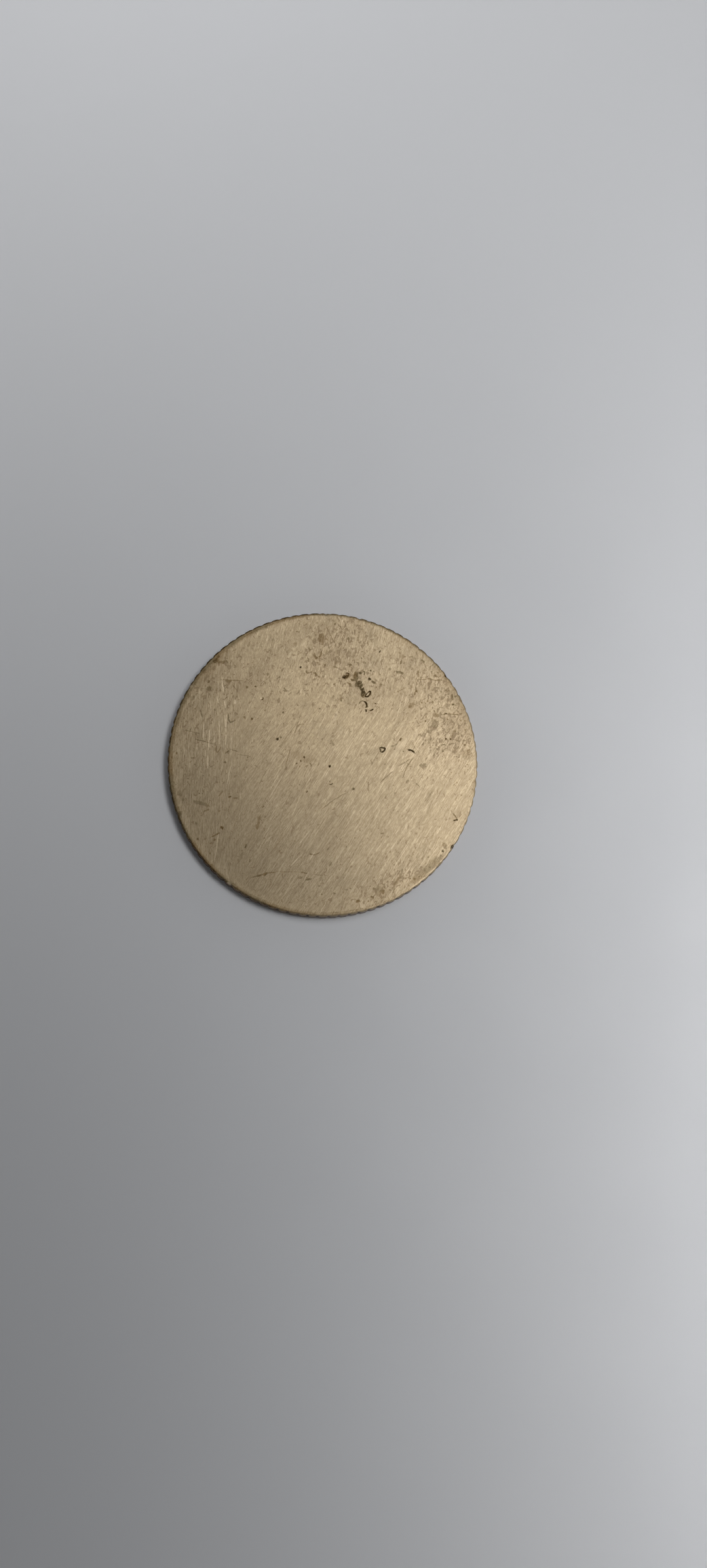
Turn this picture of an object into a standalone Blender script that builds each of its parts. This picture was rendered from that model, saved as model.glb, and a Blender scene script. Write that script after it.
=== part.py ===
"""Fare token: one solid brass blank with flat faces, softly rounded rims and a reeded edge.

Metres, +Z up. The origin is the middle of the face that the token lies on.
"""

import math

import bpy
import bmesh

# Blank
DIAMETER = 0.0230  # over the reed crests
THICKNESS = 0.00125
RIM_RADIUS = 0.00015  # rounding where each face turns into the edge

# Reeded edge
REED_COUNT = 96
GROOVE_WIDTH = 0.00044  # across the mouth of one groove
GROOVE_DEPTH = 0.00009

# Facets
RIM_STEPS = 3  # along each rounded rim
GROOVE_STEPS = 4  # along the arc of one groove

# Brass, dulled by handling
BRASS_COLOUR = (0.50, 0.41, 0.26, 1.0)
BRASS_ROUGHNESS = 0.42
SHARP_ANGLE = math.radians(40)

CREST_RADIUS = DIAMETER / 2


def clear_scene():
    for obj in list(bpy.data.objects):
        bpy.data.objects.remove(obj, do_unlink=True)


def brass_material():
    material = bpy.data.materials.new("token_brass")
    material.use_nodes = True
    shader = material.node_tree.nodes["Principled BSDF"]
    shader.inputs["Base Color"].default_value = BRASS_COLOUR
    shader.inputs["Metallic"].default_value = 1.0
    shader.inputs["Roughness"].default_value = BRASS_ROUGHNESS
    return material


def reeded_outline():
    """(angle, radius) round the edge: each reed is a land on the crest circle, then a groove cut as an arc."""
    pitch_angle = 2 * math.pi / REED_COUNT
    half_width = GROOVE_WIDTH / 2
    arc_radius = (half_width**2 + GROOVE_DEPTH**2) / (2 * GROOVE_DEPTH)
    outline = []
    for reed in range(REED_COUNT):
        groove_angle = (reed + 0.5) * pitch_angle
        for step in range(GROOVE_STEPS + 1):
            aside = half_width * (2 * step / GROOVE_STEPS - 1)
            depth = GROOVE_DEPTH - arc_radius + math.sqrt(arc_radius**2 - aside**2)
            outline.append((groove_angle + aside / CREST_RADIUS, CREST_RADIUS - depth))
    return outline


def turned_profile():
    """(height, radius) of the plain turned blank, from the lower face to the upper one."""
    rim = []
    for step in range(RIM_STEPS + 1):
        turn = math.pi / 2 * step / RIM_STEPS
        height = RIM_RADIUS * (1 - math.cos(turn))
        radius = CREST_RADIUS - RIM_RADIUS * (1 - math.sin(turn))
        rim.append((height, radius))
    upper_rim = [(THICKNESS - height, radius) for height, radius in reversed(rim)]
    return rim + upper_rim


def token_mesh():
    """Skins the rings where the reeded outline meets the turned blank, and closes both faces."""
    bm = bmesh.new()
    outline = reeded_outline()
    rings = []
    for height, turned_radius in turned_profile():
        ring = []
        for angle, reeded_radius in outline:
            radius = min(turned_radius, reeded_radius)
            point = (radius * math.cos(angle), radius * math.sin(angle), height)
            ring.append(bm.verts.new(point))
        rings.append(ring)
    for lower, upper in zip(rings, rings[1:]):
        for here in range(len(outline)):
            after = (here + 1) % len(outline)
            bm.faces.new((lower[here], lower[after], upper[after], upper[here]))
    bm.faces.new(list(reversed(rings[0])))
    bm.faces.new(rings[-1])
    mesh = bpy.data.meshes.new("token_disc")
    bm.to_mesh(mesh)
    bm.free()
    mesh.shade_smooth()
    mesh.set_sharp_from_angle(angle=SHARP_ANGLE)
    return mesh


def main():
    clear_scene()
    token = bpy.data.objects.new("token_disc", token_mesh())
    token.data.materials.append(brass_material())
    bpy.context.scene.collection.objects.link(token)


main()
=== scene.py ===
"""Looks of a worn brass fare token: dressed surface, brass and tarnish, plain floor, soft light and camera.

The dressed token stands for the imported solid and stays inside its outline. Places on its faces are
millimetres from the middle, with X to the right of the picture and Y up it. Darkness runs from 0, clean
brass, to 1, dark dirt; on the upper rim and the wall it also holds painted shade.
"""

import math
from typing import NamedTuple

import bpy
import numpy as np
from mathutils import Matrix, Vector, geometry, noise

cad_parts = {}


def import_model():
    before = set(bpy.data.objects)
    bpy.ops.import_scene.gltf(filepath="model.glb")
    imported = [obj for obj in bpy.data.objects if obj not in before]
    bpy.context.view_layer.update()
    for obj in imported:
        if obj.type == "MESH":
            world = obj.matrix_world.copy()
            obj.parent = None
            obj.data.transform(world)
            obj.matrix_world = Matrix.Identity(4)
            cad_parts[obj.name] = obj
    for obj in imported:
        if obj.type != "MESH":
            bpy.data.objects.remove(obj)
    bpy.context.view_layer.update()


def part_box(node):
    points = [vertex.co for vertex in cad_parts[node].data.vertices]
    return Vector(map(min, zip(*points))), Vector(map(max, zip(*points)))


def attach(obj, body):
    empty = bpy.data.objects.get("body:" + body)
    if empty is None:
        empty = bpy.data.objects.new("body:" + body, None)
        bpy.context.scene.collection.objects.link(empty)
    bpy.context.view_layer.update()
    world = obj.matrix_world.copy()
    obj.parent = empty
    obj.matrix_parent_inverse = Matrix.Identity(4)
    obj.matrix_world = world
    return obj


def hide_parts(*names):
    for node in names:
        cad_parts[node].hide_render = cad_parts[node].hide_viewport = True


TOKEN_NODE = "token_disc"
MM = 0.001
SEED = 11

# Reeded edge, in millimetres as on the solid
REED_COUNT = 96
GROOVE_WIDTH = 0.44
GROOVE_DEPTH = 0.09
RIM_RADIUS = 0.15

# Facets of the dressed token, in millimetres where they are lengths
COLUMNS_PER_REED = 12
RIM_ROWS = 6
WALL_ROWS = 8
FACE_MARGIN = 0.06  # flat ring between the face's own points and the rounded rim
UPPER_STEP = 0.040  # finest spacing of points on the upper face
LOWER_STEP = 0.06  # the same on the lower face
COARSEST = 3  # doublings between the finest spacing and the widest
NEAR, FAR = 4, 10  # finest steps from an outline within which the spacing doubles once, and twice
JITTER = 0.22  # how far a point strays, as a share of its spacing
RIM_BLEND = 0.03  # rounding where the reeds run out into the rims

# Wear of the whole surface, in millimetres
FACE_SINK = 0.006  # the ground faces lie this far inside the solid, so that lips stay inside it too
FACE_WAVES = ((3.6, 0.006), (1.3, 0.0022))  # wavelength and height
RAGGED_WAVES = ((0.24, 0.070), (0.10, 0.045))  # wavelength and sway of the outline of a mark
CREST_WEAR = 0.015
SINK_FADE = 0.4  # over which a face sinks from its ring
LIP = 0.16  # metal pushed up beside a mark, as a share of its depth
PIT_DEPTH = 0.13  # depth of a pit or a scratch, as a share of its half width
WIDEST_SCRATCH = 0.05  # bright marks wider than this are rubbed flat
PIT_DARKNESS = 0.72  # spots darker than this are pits, and paler ones lie flat

# Outlines of the marks: fade as a share of the half width, and share of the sway
VEIL_FADE = 1.6
STAIN_FADE = 0.3
CUT_SWAY = 0.35
BRIGHT_SWAY = 0.25
SPOT_SWAY = 0.8
PIT_SWAY = 0.6
HAIRLINE_SWAY = 0.2

# How the worn reeds differ: depth and width against a full groove, and shift in reed pitches
REED_DEPTHS = (0.72, 1.0)
REED_WIDTHS = (0.92, 1.12)
REED_SHIFTS = (-0.05, 0.05)

# Spots on the upper face: x, y, radius, darkness
SPOTS = (
    (3.85, 4.50, 0.07, 1.00), (4.00, 4.50, 0.05, 0.65), (3.90, 4.25, 0.07, 0.35),
    (3.50, 7.05, 0.07, 0.70), (3.35, 7.05, 0.05, 0.50), (3.70, 7.00, 0.06, 0.55),
    (3.10, 7.65, 0.06, 0.55), (5.10, 6.65, 0.06, 0.50), (5.55, 5.45, 0.08, 0.65),
    (5.30, 5.40, 0.05, 0.50), (1.70, 4.95, 0.04, 0.60), (5.00, 4.65, 0.05, 0.50),
    (0.75, 5.95, 0.06, 0.55), (1.15, 6.40, 0.05, 0.50), (4.20, 6.75, 0.05, 0.50),
    (1.30, 4.65, 0.05, 0.75), (0.80, 10.65, 0.06, 0.75), (-0.50, 7.60, 0.06, 0.65),
    (-1.75, 7.20, 0.07, 1.00), (-0.40, 6.50, 0.06, 0.70), (-1.45, 5.40, 0.05, 0.55),
    (-3.85, 4.45, 0.04, 0.50), (-5.15, 5.65, 0.06, 0.80), (-5.75, 5.60, 0.09, 0.75),
    (-4.40, 3.85, 0.07, 0.40), (-5.60, 3.70, 0.05, 0.60), (-5.35, 3.15, 0.07, 0.75),
    (-6.45, 4.85, 0.06, 0.65), (-4.55, 6.65, 0.06, 0.40), (-4.40, 5.95, 0.06, 0.40),
    (-5.70, 0.05, 0.06, 0.65), (-9.50, -0.35, 0.05, 0.50), (-7.85, -1.65, 0.05, 0.45),
    (-9.15, -5.90, 0.08, 0.80), (-7.95, -5.95, 0.09, 0.60), (-7.65, -5.45, 0.08, 0.65),
    (-8.25, -6.95, 0.06, 0.60), (-8.55, -6.80, 0.05, 0.50), (-8.50, -7.05, 0.05, 0.50),
    (-9.30, -4.75, 0.08, 0.50), (-7.65, -3.80, 0.07, 0.50), (-4.30, -4.20, 0.06, 0.45),
    (-4.35, -5.75, 0.06, 0.45), (-3.20, -6.70, 0.07, 0.40), (-0.30, -9.25, 0.07, 0.50),
    (-0.10, -9.85, 0.06, 0.60), (0.85, -9.80, 0.08, 0.55), (1.45, -8.40, 0.05, 0.40),
    (3.30, -10.35, 0.07, 0.50), (-1.30, -10.75, 0.05, 0.50), (-2.80, -10.85, 0.07, 0.50),
    (-3.45, 1.65, 0.11, 0.92), (-3.20, 1.80, 0.06, 0.75), (-2.45, 2.20, 0.05, 0.60),
    (-3.05, 3.70, 0.06, 0.85), (-2.40, 3.05, 0.07, 0.40), (-1.45, 0.35, 0.08, 0.95),
    (-1.70, 0.05, 0.06, 0.80), (-2.00, -0.15, 0.06, 0.85), (-1.80, -0.35, 0.05, 0.60),
    (-2.00, 0.70, 0.04, 0.50), (0.50, 1.40, 0.05, 0.60), (0.45, -0.35, 0.09, 0.95),
    (0.45, -1.50, 0.04, 0.60), (2.20, -2.00, 0.11, 0.82), (-1.80, -1.75, 0.04, 0.60),
    (-3.75, -1.95, 0.04, 0.50), (2.05, 2.35, 0.04, 0.60), (5.25, 1.05, 0.05, 0.75),
    (5.90, 0.90, 0.05, 0.75), (4.55, -0.15, 0.05, 0.60), (9.10, 1.90, 0.07, 0.85),
    (9.45, 1.90, 0.08, 0.85), (10.55, 1.45, 0.07, 0.75), (8.85, 0.95, 0.06, 0.75),
    (8.40, 1.10, 0.06, 0.60), (8.20, 1.60, 0.04, 0.50), (10.80, 0.75, 0.05, 0.50),
    (10.10, 0.30, 0.06, 0.50), (10.70, -0.05, 0.05, 0.70), (10.60, 2.60, 0.06, 0.60),
    (9.90, -1.45, 0.05, 0.50), (11.05, -1.90, 0.05, 0.60), (10.25, -2.40, 0.05, 0.60),
    (6.70, 3.10, 0.06, 0.60), (7.20, 3.15, 0.05, 0.65), (7.60, 3.25, 0.07, 0.80),
    (6.90, 2.80, 0.05, 0.45), (5.75, 8.75, 0.05, 0.60), (5.70, 8.50, 0.08, 0.40),
    (6.10, 8.20, 0.07, 0.50), (6.50, 8.95, 0.08, 0.50), (6.85, 8.10, 0.05, 0.50),
    (7.00, 8.40, 0.06, 0.50), (7.50, 8.45, 0.05, 0.50), (8.20, 7.60, 0.06, 0.50),
    (8.10, 7.05, 0.06, 0.60), (8.50, 7.05, 0.05, 0.60), (8.70, 7.05, 0.05, 0.60),
    (8.05, 6.15, 0.05, 0.50), (7.90, 6.50, 0.07, 0.65), (7.35, 4.65, 0.08, 0.55),
    (7.60, 4.55, 0.06, 0.45), (8.15, 4.70, 0.07, 0.65), (9.70, 4.55, 0.08, 0.75),
    (9.90, 4.50, 0.05, 0.60), (10.15, 4.60, 0.07, 0.50), (10.05, 5.30, 0.05, 0.70),
    (9.15, 5.65, 0.06, 0.50), (9.15, 3.85, 0.07, 0.80), (9.25, 3.40, 0.07, 0.75),
    (7.65, 3.55, 0.06, 0.60), (10.25, 3.30, 0.06, 0.60), (10.55, 3.30, 0.06, 0.60),
    (10.20, -4.80, 0.08, 0.50), (4.05, -4.95, 0.05, 0.60), (8.80, -6.55, 0.09, 0.75),
    (8.65, -6.90, 0.06, 0.55), (7.70, -7.05, 0.07, 0.45), (7.85, -7.80, 0.07, 0.60),
    (6.35, -8.65, 0.07, 0.50), (6.05, -8.65, 0.07, 0.50), (3.65, -9.40, 0.07, 0.60),
    (4.25, -10.10, 0.06, 0.50), (5.05, -7.35, 0.05, 0.60), (4.55, -6.85, 0.05, 0.50),
    (4.90, -4.15, 0.05, 0.45), (5.20, -3.55, 0.05, 0.45),
)

# Cuts and scratches that hold dirt on the upper face: half width, darkness, then the points along each
CUTS = (
    (0.05, 0.95, ((3.05, 5.00), (3.15, 5.20), (3.35, 5.40), (3.50, 5.50))),
    (0.06, 1.00, ((3.05, 5.00), (3.30, 5.05), (3.45, 5.25), (3.50, 5.50))),
    (0.05, 0.60, ((2.60, 4.45), (2.75, 4.65), (2.95, 4.70))),
    (0.07, 0.90, ((2.95, 4.70), (3.15, 4.55), (3.20, 4.30), (3.10, 4.20))),
    (0.06, 1.00, ((3.15, 4.05), (3.15, 3.85))),
    (0.05, 1.00, ((3.40, 3.95), (3.55, 4.00), (3.70, 4.10))),
    (0.10, 0.85, ((3.30, 6.45), (3.50, 6.35))),
    (0.09, 0.60, ((3.55, 6.30), (3.85, 6.05))),
    (0.05, 0.70, ((3.90, 5.85), (3.90, 5.70))),
    (0.04, 0.50, ((4.15, 6.00), (4.55, 5.95))),
    (0.06, 0.80, ((4.15, 8.45), (4.25, 8.65))),
    (0.06, 1.00, ((4.10, 1.10), (4.30, 1.15), (4.55, 1.10), (4.50, 0.95), (4.35, 0.80), (4.20, 0.85))),
    (0.05, 0.90, ((4.15, 1.10), (4.20, 0.95), (4.20, 0.85))),
    (0.04, 0.90, ((-4.60, 4.88), (-4.53, 4.78), (-4.58, 4.66), (-4.70, 4.64))),
    (0.07, 1.00, ((6.20, 1.00), (6.45, 1.00), (6.65, 0.90), (6.80, 0.75))),
    (0.035, 0.60, ((6.70, 0.45), (6.40, 0.05), (6.10, -0.45), (5.85, -1.20))),
    (0.035, 0.55, ((5.20, -0.60), (4.60, -1.10), (4.20, -1.50))),
    (0.035, 0.50, ((6.40, 0.30), (5.55, -0.25))),
    (0.04, 0.45, ((6.80, -1.50), (7.15, -1.80))),
    (0.04, 0.75, ((5.00, 1.25), (5.20, 1.30))),
    (0.03, 0.40, ((5.20, 1.30), (5.50, 1.45))),
    (
        0.030, 0.52,
        ((1.80, -2.30), (1.40, -2.45), (1.10, -2.65), (0.70, -2.90), (0.25, -3.25), (-0.30, -3.70)),
    ),
    (0.030, 0.50, ((-1.70, 3.70), (-2.00, 2.70), (-2.25, 1.75))),
    (0.030, 0.48, ((-2.40, 1.20), (-2.60, 0.55), (-2.80, -0.25), (-2.90, -0.70))),
    (0.035, 0.45, ((-1.95, 2.75), (-1.60, 2.85))),
    (0.045, 0.65, ((-1.10, -0.15), (-0.95, -0.20), (-0.95, -0.40))),
    (0.045, 0.60, ((-1.40, -0.35), (-1.20, -0.35))),
    (0.05, 0.75, ((-1.30, -2.35), (-1.15, -2.20))),
    (0.045, 0.75, ((0.40, -1.70), (0.55, -1.70), (0.70, -1.60))),
    (0.03, 0.45, ((-10.35, 2.25), (-9.70, 2.10), (-9.05, 1.95))),
    (0.035, 0.60, ((-9.50, 1.55), (-8.85, 1.40), (-8.60, 1.30))),
    (0.035, 0.40, ((-8.60, 1.30), (-8.00, 1.20))),
    (0.05, 0.50, ((-7.95, 1.15), (-7.95, 0.75), (-7.85, 0.60), (-7.60, 1.00))),
    (0.05, 0.60, ((-7.30, 0.50), (-7.00, 0.75))),
    (0.04, 0.50, ((-7.00, 0.85), (-6.30, 0.65))),
    (0.03, 0.45, ((-6.35, 0.45), (-5.90, 0.40), (-5.40, 0.30))),
    (0.04, 0.55, ((-9.80, 0.15), (-9.55, 0.15))),
    (0.05, 0.60, ((-7.40, -0.15), (-7.20, -0.15))),
    (0.035, 0.40, ((-8.40, -0.55), (-8.05, -0.35))),
    (0.04, 0.55, ((-7.75, -2.75), (-7.40, -2.30))),
    (0.06, 0.80, ((-7.00, -2.75), (-6.80, -2.70))),
    (0.05, 0.55, ((-6.65, -2.85), (-6.30, -2.80))),
    (0.06, 0.50, ((-4.55, -3.50), (-4.35, -3.40))),
    (0.06, 0.65, ((-8.20, -5.75), (-7.80, -5.55), (-7.65, -5.45))),
    (0.05, 0.50, ((-8.30, -6.25), (-8.10, -6.15))),
    (0.045, 0.60, ((-5.30, -8.70), (-4.80, -8.55), (-4.35, -8.45), (-4.10, -8.35), (-3.40, -8.25))),
    (0.03, 0.40, ((-3.40, -8.25), (-2.50, -8.25), (-1.70, -8.25))),
    (0.045, 0.60, ((-1.70, -8.25), (-1.15, -8.35))),
    (0.035, 0.40, ((-0.70, -8.40), (0.00, -8.50))),
    (0.08, 0.70, ((-4.35, -8.55), (-4.20, -8.40), (-4.10, -8.30))),
    (0.06, 0.65, ((-4.85, -8.60), (-4.55, -8.50))),
    (0.045, 0.65, ((-1.05, -6.90), (-0.65, -6.95), (-0.25, -6.80))),
    (0.07, 0.60, ((-1.30, -8.80), (-0.80, -8.75))),
    (0.05, 0.65, ((4.20, -5.35), (4.45, -5.30))),
    (0.07, 0.90, ((9.60, -4.30), (9.75, -4.25), (9.95, -4.20))),
    (0.05, 0.60, ((9.55, -3.70), (9.85, -4.10))),
    (0.03, 0.50, ((6.90, 6.40), (7.45, 6.45), (7.90, 6.50), (8.35, 6.40), (9.00, 6.40))),
    (0.035, 0.50, ((8.70, 3.75), (9.30, 3.80), (9.95, 3.80), (10.40, 3.85))),
    (0.035, 0.40, ((5.60, 5.50), (6.05, 5.75))),
    (0.035, 0.50, ((8.70, 1.40), (9.05, 1.50))),
    (0.025, 0.45, ((0.15, 10.40), (0.65, 9.40), (0.95, 8.90))),
    (0.045, 0.60, ((-2.15, 10.00), (-1.85, 9.95))),
    (0.035, 0.50, ((-7.70, 6.15), (-6.80, 6.10), (-6.00, 6.10))),
    (0.035, 0.40, ((-6.85, 5.80), (-6.45, 5.25))),
    (0.05, 0.55, ((-7.15, 3.60), (-7.00, 2.90), (-6.50, 3.10))),
    (0.05, 0.50, ((-9.20, 3.80), (-9.00, 3.20))),
    (0.05, 0.60, ((-7.50, 7.60), (-7.25, 7.55), (-7.20, 7.35))),
    (0.035, 0.45, ((-2.45, 5.25), (-2.70, 5.05))),
)

# Flat brown tarnish on the upper face: half width, darkness, then the points along each patch
STAINS = (
    (0.17, 0.72, ((2.40, 6.95), (2.40, 6.55), (2.40, 6.25))),
    (0.11, 0.68, ((2.00, 6.35), (2.40, 6.25))),
    (0.29, 0.74, ((2.45, 6.15), (2.70, 5.95), (2.85, 5.90))),
    (0.11, 0.70, ((2.60, 6.50), (2.40, 6.40))),
    (0.07, 0.60, ((2.50, 5.80), (2.55, 5.95))),
    (0.17, 0.80, ((2.75, 5.70), (2.95, 5.45), (2.90, 5.15), (2.95, 5.00))),
    (0.17, 0.78, ((1.40, 6.50), (1.65, 6.55), (1.80, 6.70))),
    (0.06, 0.90, ((1.60, 6.80), (1.80, 6.80), (1.85, 6.60), (1.60, 6.50), (1.35, 6.50))),
    (0.11, 0.75, ((2.60, 6.90), (2.80, 6.80))),
    (0.05, 0.65, ((3.00, 7.00), (3.00, 6.70))),
    (0.08, 0.60, ((1.75, 6.10), (2.00, 5.90), (2.10, 5.75))),
    (0.06, 0.60, ((1.80, 7.50), (1.95, 7.50), (1.90, 7.30))),
    (0.16, 0.25, ((0.90, 7.60),)),
    (0.05, 0.55, ((0.70, 7.30), (1.10, 7.20))),
    (0.10, 0.40, ((4.95, 7.20),)),
    (0.13, 0.40, ((5.50, 6.95),)),
    (0.09, 0.50, ((1.20, 4.85), (1.30, 4.65))),
    (0.22, 0.55, ((-0.05, 9.80), (-0.25, 9.50), (-0.10, 9.20))),
    (0.10, 0.40, ((0.15, 9.45),)),
    (0.07, 0.40, ((-0.10, 9.20), (-0.15, 8.95))),
    (0.09, 0.50, ((1.75, 9.65), (1.85, 9.35))),
    (0.06, 0.40, ((2.60, 9.65), (2.50, 9.30))),
    (0.08, 0.35, ((-2.10, 9.25), (-2.20, 8.90))),
    (0.06, 0.40, ((-1.05, 8.70), (-1.10, 8.35))),
    (0.09, 0.60, ((-0.75, 8.30), (-0.70, 8.05), (-0.60, 8.00), (-0.60, 7.80))),
    (0.05, 0.60, ((-0.20, 8.45), (-0.35, 8.00), (-0.40, 7.75))),
    (0.09, 0.50, ((-1.20, 7.95), (-1.15, 7.65))),
    (0.11, 0.50, ((0.00, 7.50), (0.15, 7.40))),
    (0.08, 0.55, ((-1.35, 7.00), (-1.30, 6.80), (-1.15, 6.85))),
    (0.08, 0.50, ((-0.80, 6.85), (-0.65, 6.70), (-0.60, 6.55))),
    (0.07, 0.50, ((-3.30, 6.50), (-3.35, 6.30))),
    (0.06, 0.55, ((-3.00, 5.60), (-2.85, 5.40), (-3.05, 5.35))),
    (0.06, 0.50, ((-2.85, 5.40), (-2.65, 5.35))),
    (0.06, 0.40, ((-1.80, 5.50), (-2.00, 5.15))),
    (0.12, 0.30, ((-3.80, 9.30),)),
    (0.15, 0.25, ((0.20, 8.40),)),
    (0.10, 0.45, ((-4.20, 6.60),)),
    (0.06, 0.40, ((3.30, 9.30), (3.30, 9.00))),
    (0.06, 0.40, ((3.15, 9.85), (3.30, 9.70))),
    (0.10, 0.50, ((-7.40, 6.10), (-6.90, 6.00))),
    (0.10, 0.60, ((-8.00, 7.45), (-7.40, 7.50))),
    (0.30, 0.75, ((-8.40, 7.60), (-7.90, 7.90))),
    (0.15, 0.40, ((-8.50, 6.95),)),
    (0.06, 0.60, ((-8.60, 6.05), (-8.60, 5.85))),
    (0.15, 0.50, ((-8.75, 5.40), (-8.40, 5.50))),
    (0.07, 0.40, ((-9.10, 5.40),)),
    (0.08, 0.50, ((-8.10, 3.80),)),
    (0.10, 0.45, ((-5.90, 3.30),)),
    (0.20, 0.30, ((-9.80, 4.70),)),
    (0.12, 0.42, ((-9.50, -3.10), (-8.80, -3.30), (-8.30, -3.50))),
    (0.20, 0.35, ((-10.55, -2.50),)),
    (0.12, 0.40, ((-10.30, -3.00),)),
    (0.06, 0.50, ((-8.75, -3.85), (-8.35, -3.70))),
    (0.07, 0.60, ((-10.85, 0.60), (-10.75, 0.40))),
    (0.06, 0.40, ((-6.60, -1.25), (-6.40, -1.10))),
    (0.12, 0.48, ((-4.65, -4.05), (-4.75, -4.35), (-4.80, -4.70), (-4.90, -5.15))),
    (0.08, 0.40, ((-4.50, -4.60),)),
    (0.12, 0.75, ((-7.40, -4.95), (-7.50, -5.15))),
    (0.06, 0.65, ((-5.60, -6.25), (-5.70, -6.50))),
    (0.09, 0.30, ((-5.80, -6.80), (-6.10, -7.35), (-6.25, -7.65))),
    (0.05, 0.60, ((-5.35, -7.35), (-5.40, -7.55))),
    (0.09, 0.45, ((-1.85, -8.75), (-1.60, -8.60))),
    (0.08, 0.30, ((-1.50, -9.00), (-1.65, -9.45))),
    (0.14, 0.25, ((-0.15, -8.75),)),
    (0.07, 0.50, ((0.40, -6.45), (0.30, -6.60))),
    (0.07, 0.50, ((0.60, -7.50), (0.45, -7.80))),
    (0.09, 0.70, ((2.60, -10.25), (2.45, -10.50))),
    (0.07, 0.40, ((1.60, -9.50), (1.85, -9.50))),
    (0.10, 0.40, ((5.80, -7.95), (5.60, -8.55), (5.30, -9.05), (5.05, -9.80))),
    (0.17, 0.55, ((4.10, -9.65), (4.50, -9.65))),
    (0.12, 0.40, ((4.50, -9.35),)),
    (0.35, 0.30, ((3.80, -9.50), (4.30, -9.60))),
    (0.10, 0.65, ((3.60, -10.05),)),
    (0.35, 0.30, ((8.60, -7.00), (7.50, -8.20), (6.50, -8.90))),
    (0.10, 0.50, ((8.20, -7.40),)),
    (0.12, 0.45, ((7.50, -8.10),)),
    (0.09, 0.60, ((6.70, -8.55), (6.70, -8.75))),
    (0.15, 0.40, ((8.85, -6.00), (9.05, -6.40))),
    (0.14, 0.40, ((7.15, -0.10), (7.35, -0.20), (7.60, -0.10))),
    (0.08, 0.50, ((6.30, -1.30), (6.15, -1.50))),
    (0.05, 0.50, ((5.30, -2.20), (5.20, -2.40))),
    (0.08, 0.70, ((5.65, 1.70), (5.80, 1.90))),
    (0.10, 0.50, ((10.80, 1.05),)),
    (0.40, 0.25, ((10.70, 0.70),)),
    (0.15, 0.30, ((7.90, 2.40),)),
    (0.20, 0.25, ((7.90, 1.70),)),
    (0.25, 0.30, ((8.30, 2.95),)),
    (0.08, 0.50, ((9.80, 2.50),)),
    (0.27, 0.40, ((6.50, 4.50), (6.65, 4.30))),
    (0.09, 0.65, ((6.40, 4.35),)),
    (0.16, 0.45, ((8.20, 3.80), (8.45, 3.70), (8.60, 3.80))),
    (0.17, 0.30, ((8.20, 3.25),)),
    (0.08, 0.60, ((5.40, 7.00), (5.80, 6.95), (6.00, 6.85))),
    (0.06, 0.60, ((5.85, 7.90), (5.75, 7.60))),
    (0.20, 0.30, ((5.85, 8.20),)),
    (0.06, 0.50, ((6.40, 8.15), (6.70, 8.20))),
    (0.06, 0.55, ((7.15, 7.10), (7.05, 6.90), (7.15, 6.60))),
    (0.08, 0.60, ((7.30, 8.00), (7.45, 7.90), (7.55, 7.75))),
    (0.06, 0.70, ((8.40, 6.85), (8.40, 6.65))),
    (0.07, 0.45, ((8.75, 6.85), (8.75, 6.65))),
    (0.12, 0.35, ((6.60, 5.85),)),
    (0.06, 0.70, ((6.95, 5.65), (6.90, 5.45))),
    (0.09, 0.50, ((6.80, 5.35),)),
    (0.06, 0.60, ((9.65, 5.30), (9.65, 4.90))),
    (0.10, 0.60, ((9.90, 5.20),)),
    (0.13, 0.30, ((9.40, 5.50),)),
    (0.30, 0.15, ((-2.40, 0.60), (-1.50, 0.30), (-0.60, 0.05))),
    (0.07, 0.35, ((0.55, 1.70), (0.60, 1.50), (0.80, 1.20))),
)

# Soft brown veils along the upper rim: degrees from and to round from +X, half width, darkness
RIM_VEILS = (
    (96, 205, 0.14, 0.75),
    (128, 152, 0.45, 0.38),
    (205, 300, 0.08, 0.55),
    (18, 62, 0.25, 0.15),
)

# Bright scratches and rubbed places on the upper face: half width, brightness, then the points along each
BRIGHT_MARKS = (
    (0.035, 0.80, ((-7.60, 6.00), (-7.45, 5.20))),
    (0.030, 0.80, ((-7.40, 4.55), (-7.30, 4.00))),
    (0.040, 1.00, ((-6.60, 4.60), (-6.60, 4.30))),
    (0.030, 0.80, ((-7.25, 3.50), (-7.25, 2.10))),
    (0.026, 0.70, ((-7.25, 2.00), (-7.25, 1.10))),
    (0.028, 0.70, ((-7.75, 3.10), (-7.70, 1.20))),
    (0.030, 0.70, ((-7.95, 4.90), (-7.85, 4.30))),
    (0.035, 0.75, ((-8.45, 2.40), (-8.50, 0.80))),
    (0.035, 0.70, ((-8.55, 0.35), (-8.55, -0.60))),
    (0.030, 0.65, ((-8.90, 2.85), (-8.90, 1.50))),
    (0.030, 0.35, ((-9.35, 1.30), (-9.35, 0.65))),
    (0.030, 0.35, ((-8.75, 0.75), (-8.70, 0.25))),
    (0.050, 0.90, ((3.00, 1.40),)),
    (0.035, 0.70, ((4.35, 1.00),)),
    (0.060, 0.80, ((-4.70, 4.76),)),
    (0.060, 0.60, ((3.28, 5.24),)),
    (0.120, 0.25, ((6.50, 2.20), (5.50, 1.00), (4.70, 0.10))),
    (0.100, 0.25, ((7.00, 2.60), (6.60, 1.60))),
    (0.150, 0.35, ((2.70, -10.60), (3.10, -10.80))),
)

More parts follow.
